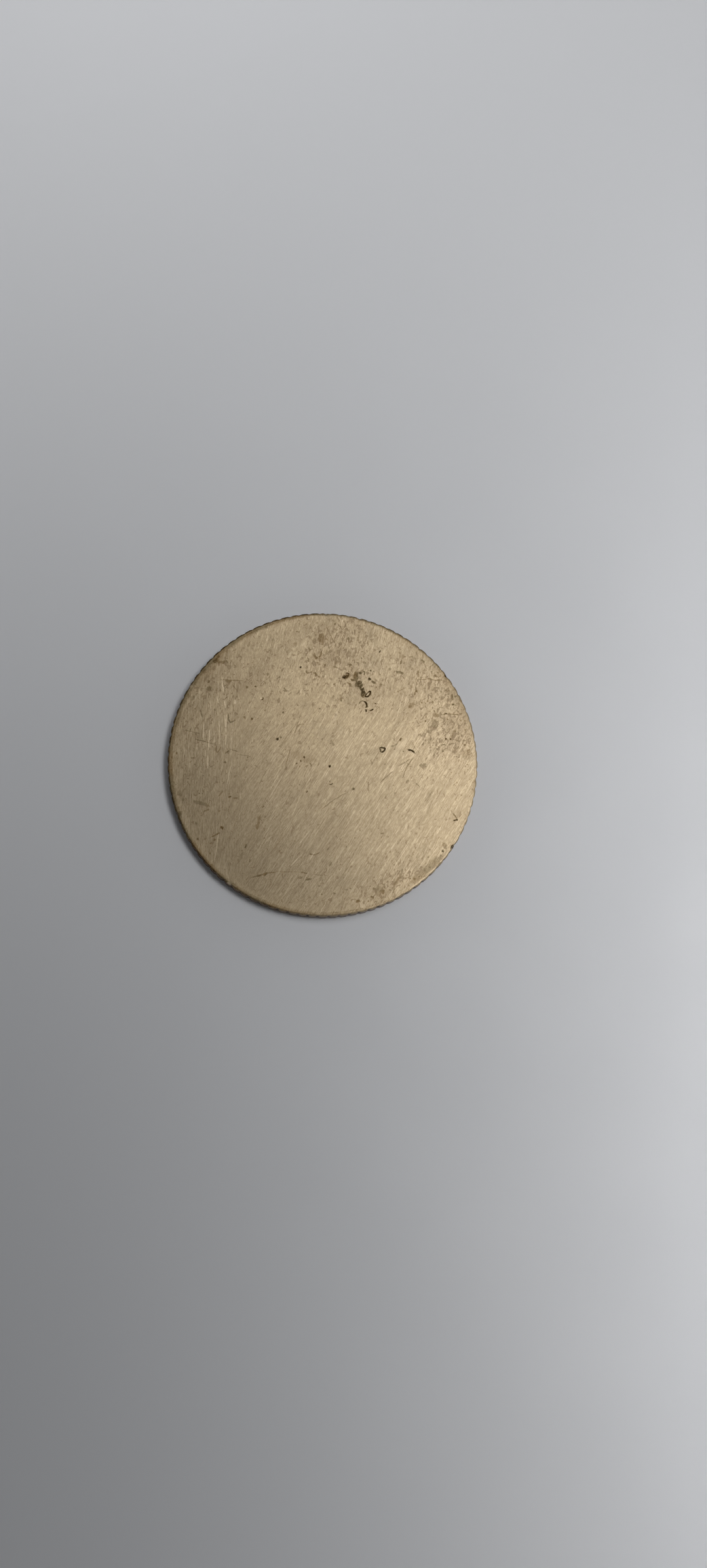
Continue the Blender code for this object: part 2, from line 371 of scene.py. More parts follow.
# Patches of the upper face where age shows most: strength, radius, x, y
AGED_PATCHES = (
    (0.75, 3.2, 1.0, 9.2),
    (0.50, 2.2, 2.4, 6.4),
    (0.70, 3.0, 8.2, 5.8),
    (0.75, 2.4, 9.8, 1.8),
    (0.70, 2.6, -8.8, 6.4),
    (0.45, 2.2, -10.4, 2.0),
    (0.45, 2.2, -10.2, -2.8),
    (0.60, 2.0, 6.2, -8.8),
    (0.40, 2.2, 3.4, -10.2),
    (0.30, 3.5, -4.5, 6.5),
)

# Broad painted light and shade over the upper face, making up for what the lights don't give: painted light
# where above 0 and painted shade where below, deepest at the lower left: strength, radius, x, y
BROAD_PAINTED_LIGHT_AND_SHADE = (
    (0.60, 4.5, -0.5, 4.8),
    (0.40, 3.0, 6.5, 1.5),
    (-0.85, 6.0, -7.0, -7.0),
    (-0.50, 4.0, 0.0, -9.0),
    (-0.40, 4.0, -10.0, -0.5),
)
PAINTED_LIGHT_AND_SHADE_REACH = (0.78, 1.22)  # brightness under the deepest painted shade and under the strongest painted light, against the rest

# Nicks in the upper rim: degrees round from +X, half width and depth in millimetres, darkness, brightness,
# which at -126.8 and 150.5 degrees is a painted glint
RIM_NICKS_AND_GLINTS = (
    (89.4, 0.12, 0.06, 0.00, 0.40),
    (76.3, 0.10, 0.04, 0.70, 0.00),
    (50.9, 0.10, 0.03, 0.70, 0.00),
    (36.4, 0.15, 0.05, 1.00, 0.00),
    (27.9, 0.08, 0.03, 0.60, 0.00),
    (25.7, 0.08, 0.03, 0.60, 0.00),
    (-6.5, 0.20, 0.03, 0.60, 0.00),
    (-33.3, 0.17, 0.09, 1.00, 0.00),
    (-41.6, 0.12, 0.03, 0.70, 0.00),
    (-60.0, 0.20, 0.03, 0.00, 0.00),
    (-126.8, 0.14, 0.05, 0.00, 1.00),
    (150.5, 0.09, 0.02, 0.00, 0.80),
    (201.0, 0.18, 0.04, 0.50, 0.00),
)
NICK_REACH = 0.20  # how far a nick, and its painted glint, reaches over the face and down the wall

# The upper rim by degrees round from +X: how dark it is, from tarnish and from painted shade on the side
# away from the lights, and how bright it is, from handling and from a painted highlight on the side towards
# them
RIM_TARNISH_AND_SHADE = (
    (-75, 0.30), (-60, 0.10), (5, 0.10), (25, 0.35), (45, 0.60), (62, 0.85), (75, 0.60), (86, 0.45),
    (94, 1.00), (122, 1.00), (150, 0.95), (200, 0.95), (232, 0.90), (260, 0.75), (280, 0.40),
)
RIM_POLISH_AND_HIGHLIGHT = (
    (-75, 0.70), (-45, 1.00), (5, 1.00), (22, 0.70), (35, 0.25), (60, 0.10), (100, 0.00), (215, 0.00),
    (250, 0.15), (280, 0.55),
)

# Fine wear that nobody placed: how many, and the spread of sizes in millimetres and of darkness
UPPER_PITS = 160
LOWER_PITS = 200
PIT_RADII = (0.025, 0.055)
PIT_SHADES = (0.30, 0.75)
UPPER_HAIRLINES = 60
LOWER_HAIRLINES = 40
HAIRLINE_LENGTHS = (0.5, 2.4)
HAIRLINE_WIDTHS = (0.018, 0.03)
BRIGHT_HAIRLINES = 0.6  # share of them that are bright
HAIRLINE_SHINE = 0.5
HAIRLINE_DARKNESS = 0.3
SPARED = 0.12  # chance of a pit where age does not show, against one where it does

# The ways that the faces were rubbed down, and where each way takes over
SLANTED = math.radians(58)
STEEP = math.radians(77)
UPRIGHT = math.radians(88)
RUB_SPREAD = math.radians(7)
STEEP_FROM, STEEP_TO = 2.0, 7.0  # up the face
UPRIGHT_FROM, UPRIGHT_TO = -4.0, -8.0  # to the left

# Colours of the metal and of what lies on it; the polished brass also paints highlights, and the dirt also
# paints shade, on the rim and the wall
POLISHED_BRASS_AND_HIGHLIGHT = (0.640, 0.510, 0.335, 1.0)
PALE_BRASS = (0.455, 0.349, 0.204, 1.0)
BRASS = (0.353, 0.262, 0.144, 1.0)
DULL_BRASS = (0.260, 0.185, 0.094, 1.0)
BROWN_TARNISH = (0.185, 0.116, 0.046, 1.0)
OLIVE_TARNISH = (0.150, 0.108, 0.050, 1.0)
EDGE_TARNISH = (0.150, 0.098, 0.056, 1.0)
DIRT_AND_SHADE = (0.050, 0.028, 0.011, 1.0)
FLOOR_COLOUR = (0.790, 0.800, 0.825, 1.0)
METALLIC = 0.35  # the rest is a thin dull skin over the metal
SKIN_GLOSS = 0.5
DIRT_GLOSS = 0.05

# Roughness: rubbed metal between its dull and its pale flecks, tarnish, bright scratches and dirt
RUBBED_ROUGHNESS = (0.35, 0.30)
TARNISH_ROUGHNESS = 0.42
BRIGHT_ROUGHNESS = 0.27
DIRT_ROUGHNESS = 0.60

# Picture, in pixels, and the camera that gives it
PICTURE = (1042, 2312)
TOKEN_MIDDLE = (477.0, 1123.2)
PIXELS_PER_MM = 19.95
LENS = 36.0
SENSOR = 36.0  # along the picture's long side
CAMERA_TILT = math.radians(12)
CAMERA_WAY = math.radians(-110)  # the side that the camera leans to, from +X

FLOOR_REACH = 1.5
FLOOR_GAP = 0.00002

# The room's own light: its strength at the horizon and overhead, and the heights between which it fades
SKY_COLOUR = (0.96, 0.98, 1.0, 1.0)
SKY_HORIZON = 0.42
SKY_OVERHEAD = 0.02
SKY_FADE = (0.20, 0.65)

# What the brass is told about each point of the token, each from 0 to 1
SHARES = ("dark", "shine", "age", "painted_light_and_shade", "wall", "groove")
# level of the painted light and shade share where nothing is painted
UNPAINTED_LEVEL = 0.5


class Mark(NamedTuple):
    """A blemish: its path, half width and depth, how it darkens or brightens, and its outline."""

    path: tuple
    width: float
    depth: float = 0.0
    dark: float = 0.0
    shine: float = 0.0
    ragged: float = 1.0  # share of the sway that its outline takes
    softness: float = 0.45  # width of the outline's fade, as a share of the half width


def smooth_path(points, steps=6):
    """A curve through listed points, so that a long scratch has no corners."""
    if len(points) < 3:
        return tuple(points)
    ends = [2 * np.array(points[0]) - points[1], 2 * np.array(points[-1]) - points[-2]]
    knots = [ends[0], *map(np.array, points), ends[1]]
    curve = []
    for before, start, end, after in zip(knots, knots[1:], knots[2:], knots[3:]):
        for t in np.arange(steps) / steps:
            swing = (2 * before - 5 * start + 4 * end - after) * t**2
            turn = (3 * start - before - 3 * end + after) * t**3
            curve.append(tuple(start + 0.5 * ((end - before) * t + swing + turn)))
    return (*curve, tuple(points[-1]))


def arc_path(radius, start, end, step=4):
    """Points along a circle round the middle, between two angles in degrees."""
    turns = np.radians(np.arange(start, end + step, step))
    return tuple((radius * math.cos(turn), radius * math.sin(turn)) for turn in turns)


def placed_marks(radius):
    """The marks that can be told apart on the upper face."""
    marks = [Mark(arc_path(radius, a, b), w, dark=dark, softness=VEIL_FADE) for a, b, w, dark in RIM_VEILS]
    marks += [Mark(smooth_path(path), w, dark=dark, softness=STAIN_FADE) for w, dark, path in STAINS]
    marks += [Mark(smooth_path(path), w, PIT_DEPTH * w, dark, ragged=CUT_SWAY) for w, dark, path in CUTS]
    for w, shine, path in BRIGHT_MARKS:
        depth = PIT_DEPTH * w if w < WIDEST_SCRATCH else 0.0
        marks.append(Mark(smooth_path(path), w, depth, shine=shine, ragged=BRIGHT_SWAY))
    for x, y, r, dark in SPOTS:
        depth = PIT_DEPTH * r if dark > PIT_DARKNESS else 0.0
        marks.append(Mark(((x, y),), r, depth, dark, ragged=SPOT_SWAY))
    return marks


def rub_angle(x, y):
    """The way of the rubbing at a place on a face."""
    upward = np.interp(y, (STEEP_FROM, STEEP_TO), (SLANTED, STEEP))
    leftward = np.interp(x, (UPRIGHT_TO, UPRIGHT_FROM), (1.0, 0.0))
    return upward + leftward * (UPRIGHT - upward)


def aged(points, patches):
    """How strongly age shows at each point of a face."""
    fresh = np.ones(len(points))
    for strength, reach, x, y in patches:
        fresh *= 1 - strength * np.exp(-((points[:, 0] - x) ** 2 + (points[:, 1] - y) ** 2) / reach**2)
    return 1 - fresh


def painted_light_and_shade_at(points, patches):
    """The painted light and shade at each point of a face: paler above the even level, duller below it."""
    painted_light_and_shade = np.zeros(len(points))
    for strength, reach, x, y in patches:
        painted_light_and_shade += strength * np.exp(-((points[:, 0] - x) ** 2 + (points[:, 1] - y) ** 2) / reach**2)
    return UNPAINTED_LEVEL * (1 + np.clip(painted_light_and_shade, -1, 1))


def chance_places(rng, radius, patches, count):
    """Places on a face, most of them where age shows."""
    tries = rng.uniform(-radius, radius, (count * 20, 2))
    tries = tries[np.hypot(*tries.T) < 0.985 * radius]
    taken = rng.uniform(size=len(tries)) < SPARED + (1 - SPARED) * aged(tries, patches)
    return [tuple(place) for place in tries[taken][:count]]


def scattered_marks(rng, radius, patches, pits, hairlines):
    """Small pits, and hairlines along the way that the face was rubbed."""
    marks = []
    for place in chance_places(rng, radius, patches, pits):
        size = rng.uniform(*PIT_RADII)
        dark = rng.uniform(*PIT_SHADES)
        marks.append(Mark((place,), size, PIT_DEPTH * size, dark, ragged=PIT_SWAY))
    for _ in range(hairlines):
        out = radius * math.sqrt(rng.uniform(0, 0.85))
        way = rng.uniform(0, 2 * math.pi)
        reach = rng.uniform(*HAIRLINE_LENGTHS) / 2
        middle = np.array((out * math.cos(way), out * math.sin(way)))
        lean = rng.normal(rub_angle(*middle), RUB_SPREAD)
        step = reach * np.array((math.cos(lean), math.sin(lean)))
        width = rng.uniform(*HAIRLINE_WIDTHS)
        bright = rng.uniform() < BRIGHT_HAIRLINES
        fill = {"shine": HAIRLINE_SHINE} if bright else {"dark": HAIRLINE_DARKNESS}
        path = (tuple(middle - step), tuple(middle + step))
        marks.append(Mark(path, width, PIT_DEPTH * width, ragged=HAIRLINE_SWAY, **fill))
    return marks


def path_distance(x, y, path):
    """Distance of each point to a path, and how far along it the nearest place lies, from 0 to 1."""
    if len(path) == 1:
        return np.hypot(x - path[0][0], y - path[0][1]), np.full(x.shape, 0.5)
    corners = np.array(path)
    lengths = np.hypot(*np.diff(corners, axis=0).T)
    reached = np.concatenate([[0.0], np.cumsum(lengths)])
    nearest = np.full(x.shape, np.inf)
    along = np.zeros(x.shape)
    for start, end, length, before in zip(corners, corners[1:], lengths, reached):
        step = (end - start) / length
        run = np.clip((x - start[0]) * step[0] + (y - start[1]) * step[1], 0, length)
        gap = np.hypot(x - start[0] - run * step[0], y - start[1] - run * step[1])
        closer = gap < nearest
        nearest = np.where(closer, gap, nearest)
        along = np.where(closer, (before + run) / reached[-1], along)
    return nearest, along


def mark_box(mark, reach):
    """Lowest and highest corner of the ground that a mark can touch."""
    corners = np.array(mark.path)
    return corners.min(axis=0) - mark.width - reach, corners.max(axis=0) + mark.width + reach


def face_points(radius, marks, finest, rng):
    """Points over a face: close at the outlines of marks, wider apart elsewhere, never on a strict grid."""
    half = int(radius / finest) + 1
    steps = np.arange(-half, half + 1)
    column, row = np.meshgrid(steps, steps)
    x, y = column * finest, row * finest
    inside = radius - np.hypot(x, y)
    level = np.full(x.shape, COARSEST)
    level[inside < FAR * finest] = 2
    level[inside < NEAR * finest] = 1
    for mark in marks:
        low, high = mark_box(mark, FAR * finest)
        first = np.clip(np.floor(low / finest).astype(int) + half, 0, 2 * half)
        last = np.clip(np.ceil(high / finest).astype(int) + half + 1, 1, 2 * half + 1)
        window = (slice(first[1], last[1]), slice(first[0], last[0]))
        gap, _ = path_distance(x[window], y[window], mark.path)
        gap = gap - mark.width
        wanted = np.where(gap < NEAR * finest, 1, np.where(gap < FAR * finest, 2, COARSEST))
        if mark.softness < 1:
            wanted[np.abs(gap) < (1.1 + 0.5 * mark.ragged) * finest] = 0
        level[window] = np.minimum(level[window], wanted)
    spacing = 2**level
    keep = (column % spacing == 0) & (row % spacing == 0) & (inside > 0.8 * finest)
    jitter = JITTER * finest * spacing[keep]
    return np.stack([x[keep], y[keep]], axis=1) + rng.uniform(-1, 1, (keep.sum(), 2)) * jitter[:, None]


def outline_sway(points):
    """How far each point is led aside when it is measured against a mark, so that no outline is smooth."""
    sway = np.zeros(points.shape)
    for length, height in RAGGED_WAVES:
        spots = [Vector((x / length, y / length, length)) for x, y in points]
        sway += height * np.array([noise.noise_vector(spot)[:2] for spot in spots])
    return sway


def mark_effects(points, marks):
    """How deep each point is sunk by the marks, and how they darken and brighten it."""
    effects = {name: np.zeros(len(points)) for name in ("drop", "dark", "shine")}
    sway = outline_sway(points)
    for mark in marks:
        low, high = mark_box(mark, mark.width + 0.1)
        near = np.flatnonzero(np.all((points > low) & (points < high), axis=1))
        if len(near) == 0:
            continue
        gap, along = path_distance(*(points[near] + mark.ragged * sway[near]).T, mark.path)
        taper = np.clip(1.15 - np.abs(2 * along - 1) ** 4, 0.3, 1.0)
        share = gap / (mark.width * taper)
        bowl = np.clip(1 - share**2, 0, 1) ** 2
        lip = LIP * np.exp(-(((share - 1.25) / 0.22) ** 2))
        effects["drop"][near] += mark.depth * taper * (bowl - lip)
        cover = np.clip((1 - share) / mark.softness + 0.5, 0, 1)
        for name, strength in (("dark", mark.dark), ("shine", mark.shine)):
            effects[name][near] = np.maximum(effects[name][near], strength * cover)
    return effects


def waves(points, offset):
    """Slow unevenness of a face that was rubbed down by hand."""
    heights = np.zeros(len(points))
    for length, height in FACE_WAVES:
        spots = [Vector((x / length, y / length, offset)) for x, y in points]
        heights += height * np.array([noise.noise(spot) for spot in spots])
    return heights


def turned_rows(thickness):
    """(inset, height, wall) of each ring of the plain edge, from the upper face down to the lower one."""
    rows = [(RIM_RADIUS + FACE_MARGIN, thickness, 0.0)]
    for turn in np.linspace(0, math.pi / 2, RIM_ROWS + 1):
        inset = RIM_RADIUS * (1 - math.sin(turn))
        height = thickness - RIM_RADIUS * (1 - math.cos(turn))
        rows.append((inset, height, turn / (math.pi / 2)))
    lower = [(inset, thickness - height, wall) for inset, height, wall in reversed(rows)]
    drop = (thickness - 2 * RIM_RADIUS) / WALL_ROWS
    wall_rows = [(0.0, thickness - RIM_RADIUS - drop * step, 1.0) for step in range(1, WALL_ROWS)]
    return rows + wall_rows + lower


def reed_grooves(angle, rng):
    """Angle from the nearest groove's middle, and that groove's depth and width: no two are quite alike."""
    pitch = 2 * math.pi / REED_COUNT
    reed = np.floor(angle / pitch).astype(int) % REED_COUNT
    deep = rng.uniform(*REED_DEPTHS, REED_COUNT)[reed]
    wide = rng.uniform(*REED_WIDTHS, REED_COUNT)[reed]
    aside = rng.uniform(*REED_SHIFTS, REED_COUNT)[reed]
    across = np.abs(angle / pitch % 1 - 0.5 - aside) * pitch
    return across, deep, wide


def soft_min(a, b, blend):
    """The smaller of two lengths, with the crease between them rounded off."""
    mix = np.clip(0.5 + 0.5 * (b - a) / blend, 0, 1)
    return b + (a - b) * mix - blend * mix * (1 - mix)


def round_the_rim(angle, table):
    """A share that changes round the rim, read from its table."""
    degrees, shares = zip(*table)
    return np.interp(np.degrees(angle), degrees, shares, period=360)


def edge_rings(radius, thickness, rng):
    """Points of the rims and the reeded wall, ring by ring, and what age and handling did to them, with
    painted shade and a painted highlight round the rim.
    """
    count = REED_COUNT * COLUMNS_PER_REED
    angle = np.arange(count) * 2 * math.pi / count
    across, deep, wide = reed_grooves(angle, rng)
    share = across * radius / (0.5 * GROOVE_WIDTH * wide)
    groove = np.clip(1 - share**2, 0, 1) ** 1.5 * deep
    around = [Vector((math.cos(a), math.sin(a), 0.0)) for a in angle]
    patchy = np.array([0.5 + 0.5 * noise.noise(spot * 9.0) for spot in around])
    reeded = radius - GROOVE_DEPTH * groove - CREST_WEAR * patchy
    # Round the rim: polish with a painted highlight towards the lights, tarnish with painted shade away
    # from them
    polish_and_highlight = round_the_rim(angle, RIM_POLISH_AND_HIGHLIGHT) * (0.6 + 0.4 * patchy)
    tarnish_and_shade = round_the_rim(angle, RIM_TARNISH_AND_SHADE) * (0.7 + 0.4 * patchy)
    places, shares = [], {name: [] for name in SHARES}
    for inset, height, wall in turned_rows(thickness):
        out = soft_min(np.full(count, radius - inset), reeded, RIM_BLEND)
        places.append(np.stack([out * np.cos(angle), out * np.sin(angle), np.full(count, height)], axis=1))
        shares["wall"].append(np.full(count, wall))
        shares["groove"].append(groove * wall**3)
        shares["shine"].append(math.sin(math.pi * wall) * polish_and_highlight)
        shares["dark"].append(tarnish_and_shade * np.clip(0.55 + 2.0 * wall, 0, 1))
        shares["age"].append(np.full(count, 0.5))
        shares["painted_light_and_shade"].append(np.full(count, UNPAINTED_LEVEL))
    return np.concatenate(places), {name: np.concatenate(parts) for name, parts in shares.items()}


def nick_and_glint_rim(points, shares, radius, thickness):
    """Pushes the metal in and down at each nick of the upper rim, darkens it there, and paints a glint
    where a nick has brightness.
    """
    moved = points.copy()
    out = np.hypot(points[:, 0], points[:, 1])
    angle = np.arctan2(points[:, 1], points[:, 0])
    for degrees, width, depth, dark, shine in RIM_NICKS_AND_GLINTS:
        turn = (angle - math.radians(degrees) + math.pi) % (2 * math.pi) - math.pi
        reach = ((radius - out) ** 2 + (thickness - points[:, 2]) ** 2) / NICK_REACH**2
        act = np.exp(-((turn * radius / width) ** 2) - reach)
        moved[:, :2] -= points[:, :2] / np.maximum(out, radius / 2)[:, None] * (depth * act)[:, None]
        moved[:, 2] -= 0.6 * depth * act
        shares["dark"] = np.maximum(shares["dark"], dark * np.clip(1.6 * act, 0, 1))
        shares["shine"] = np.maximum(shares["shine"], shine * np.clip(1.6 * act, 0, 1))
    return moved


def fill_face(ring, points):
    """Triangles over a face, as numbers into its outer ring and its own points, listed together."""
    corners = [Vector(spot) for spot in np.concatenate([ring, points])]
    made = geometry.delaunay_2d_cdt(corners, [], [list(range(len(ring)))], 1, 1e-6)
    if len(made[0]) != len(corners):
        raise ValueError("two points of a face fell together")
    return np.array(made[2])


def chance_patches(rng, radius):
    """Aged patches of the lower face, like those of the upper one."""
    patches = []
    for strength, reach, _, _ in AGED_PATCHES:
        out = radius * math.sqrt(rng.uniform(0.1, 1))
        way = rng.uniform(0, 2 * math.pi)
        patches.append((strength, reach, out * math.cos(way), out * math.sin(way)))
    return patches


def face_sheet(ring, marks, patches, painted_light_and_shade_patches, finest, rng):
    """One face inside its ring: its points, their depth, the triangles over both, and its shares."""
    inner = np.hypot(*ring[0])
    points = face_points(inner, marks, finest, rng)
    effects = mark_effects(points, marks)
    fade = np.clip((inner - np.hypot(*points.T)) / SINK_FADE, 0, 1)
    depth = effects.pop("drop") + fade * (FACE_SINK + waves(points, float(len(marks))))
    flat = np.zeros(len(points))
    broad = {"age": aged(points, patches), "painted_light_and_shade": painted_light_and_shade_at(points, painted_light_and_shade_patches)}
    shares = {"wall": flat, "groove": flat, **broad, **effects}
    return points, depth, fill_face(ring, points), shares


def token_surface(radius, thickness):
    """Corners, faces and surface shares of the whole dressed token, in millimetres."""
    rng = np.random.default_rng(SEED)
    noise.seed_set(SEED)
    count = REED_COUNT * COLUMNS_PER_REED
    edge, shares = edge_rings(radius, thickness, rng)
    rings = len(edge) // count
    faces = []
    for ring in range(rings - 1):
        here = np.arange(count) + ring * count
        after = np.roll(here, -1)
        faces += np.stack([here, here + count, after + count, after], axis=1).tolist()
    inner = radius - RIM_RADIUS - FACE_MARGIN
    lower_patches = chance_patches(rng, inner)
    upper_marks = placed_marks(inner)
    upper_marks += scattered_marks(rng, inner, AGED_PATCHES, UPPER_PITS, UPPER_HAIRLINES)
    lower_marks = scattered_marks(rng, inner, lower_patches, LOWER_PITS, LOWER_HAIRLINES)
    top = face_sheet(edge[:count, :2], upper_marks, AGED_PATCHES, BROAD_PAINTED_LIGHT_AND_SHADE, UPPER_STEP, rng)
    bottom = face_sheet(edge[-count:, :2], lower_marks, lower_patches, (), LOWER_STEP, rng)
    places = [edge]
    start = len(edge)
    sheets = ((top, 0, True), (bottom, len(edge) - count, False))
    for (points, depth, triangles, more), first, upward in sheets:
        numbers = np.concatenate([np.arange(count) + first, np.arange(len(points)) + start])
        triangles = numbers[triangles]
        faces += (triangles if upward else triangles[:, ::-1]).tolist()
        places.append(np.column_stack([points, thickness - depth if upward else depth]))
        shares = {name: np.concatenate([shares[name], more[name]]) for name in SHARES}
        start += len(points)
    places = nick_and_glint_rim(np.concatenate(places), shares, radius, thickness)
    places[:, 2] = np.clip(places[:, 2], 0, thickness)
    return places, faces, shares


def dressed_token(low, high):
    """The token as it shows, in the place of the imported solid."""
    radius = (high.x - low.x) / 2 / MM
    places, faces, shares = token_surface(radius, (high.z - low.z) / MM)
    mesh = bpy.data.meshes.new("worn_token")
    mesh.from_pydata((places * MM).tolist(), [], faces)
    mesh.shade_smooth()
    for name, values in shares.items():
        layer = mesh.attributes.new(name, "FLOAT", "POINT")
        layer.data.foreach_set("value", values.astype(np.float32))
    token = bpy.data.objects.new("worn_token", mesh)
    bpy.context.scene.collection.objects.link(token)
    return token


class Shader:
    """Writes a material's nodes as nested calls: each call adds one node and gives back its output."""

    def __init__(self, tree):
        self.tree = tree

    def node(self, kind, inputs, output=0, **settings):
        """Adds a node, with its settings and what goes into it."""
        made = self.tree.nodes.new(kind)
        for name, value in settings.items():
            setattr(made, name, value)
        for name, value in inputs.items():
            self.fill(made.inputs[name], value)
        return made.outputs[output]

    def fill(self, socket, value):
        """Links a node's output to a socket, or sets a plain value on it."""
        if isinstance(value, bpy.types.NodeSocket):
            self.tree.links.new(value, socket)
        else:
            socket.default_value = value

    def sums(self, operation, first, second, third=0.0):
        """Arithmetic on numbers."""
        return self.node("ShaderNodeMath", {0: first, 1: second, 2: third}, operation=operation)

    def share(self, name):
        """One of the shares that the mesh carries at each point."""
        return self.node("ShaderNodeAttribute", {}, output="Fac", attribute_name=name)

    def place(self):
        """Place on the object, in metres."""
        return self.node("ShaderNodeTexCoord", {}, output="Object")

    def side(self, axis):
        """One coordinate of the place on the object: 0 across, 1 up the picture."""
        return self.node("ShaderNodeSeparateXYZ", {0: self.place()}, output=axis)

    def stretched(self, angle, along, across):
        """Place on the object, turned to a direction and measured in grains of that length and width."""
        inputs = {"Vector": self.place(), "Angle": -angle}
        turned = self.node("ShaderNodeVectorRotate", inputs, rotation_type="Z_AXIS")
        grain = (1 / (along * MM), 1 / (across * MM), 1 / (across * MM))
        return self.node("ShaderNodeVectorMath", {0: turned, 1: grain}, operation="MULTIPLY")

    def even(self, size):
        """Place on the object, measured in grains of one size."""
        inputs = {0: self.place(), "Scale": 1 / (size * MM)}
        return self.node("ShaderNodeVectorMath", inputs, operation="SCALE")

    def noise(self, place, detail=2.0, rough=0.5, warp=0.0):
        """Cloudy noise with grains of size 1."""
        inputs = {"Vector": place, "Scale": 1.0, "Detail": detail, "Roughness": rough, "Distortion": warp}
        return self.node("ShaderNodeTexNoise", inputs)

    def between(self, value, low, high, to_low=0.0, to_high=1.0):
        """The value stretched so that low becomes to_low and high becomes to_high, with soft ends."""
        inputs = {"Value": value, "From Min": low, "From Max": high, "To Min": to_low, "To Max": to_high}
        return self.node("ShaderNodeMapRange", inputs, interpolation_type="SMOOTHSTEP")

    def ramp(self, value, low, high, to_low=0.0, to_high=1.0):
        """The same along a straight line."""
        inputs = {"Value": value, "From Min": low, "From Max": high, "To Min": to_low, "To Max": to_high}
        return self.node("ShaderNodeMapRange", inputs)

    def scaled(self, colour, factor):
        """A colour made brighter or darker."""
        return self.node("ShaderNodeVectorMath", {0: colour, "Scale": factor}, operation="SCALE")

    def blend(self, share, first, second):
        """Two colours, mixed."""
        return self.node("ShaderNodeMix", {0: share, 6: first, 7: second}, output=2, data_type="RGBA")

    def level(self, share, first, second):
        """Two numbers, mixed."""
        return self.node("ShaderNodeMix", {0: share, 2: first, 3: second}, data_type="FLOAT")

    def bump(self, height, distance, normal=None):
        """A normal tilted by a height, whose full rise is a distance in millimetres."""
        inputs = {"Height": height, "Distance": distance * MM, "Strength": 1.0}
        if normal is not None:
            inputs["Normal"] = normal
        return self.node("ShaderNodeBump", inputs)


def rubbed(s, length, width, warp):
    """Flecks along the rubbing: slanted in the middle, steeper at the top, upright at the left."""
    upward = s.between(s.side(1), STEEP_FROM * MM, STEEP_TO * MM)
    leftward = s.between(s.side(0), UPRIGHT_TO * MM, UPRIGHT_FROM * MM, 1.0, 0.0)
    slanted = s.noise(s.stretched(SLANTED, length, width), detail=3.0, rough=0.55, warp=warp)
    steep = s.noise(s.stretched(STEEP, 0.7 * length, width), detail=3.0, rough=0.55, warp=warp)
    upright = s.noise(s.stretched(UPRIGHT, 1.2 * length, width), detail=3.0, rough=0.55, warp=warp)
    return s.level(leftward, s.level(upward, slanted, steep), upright)


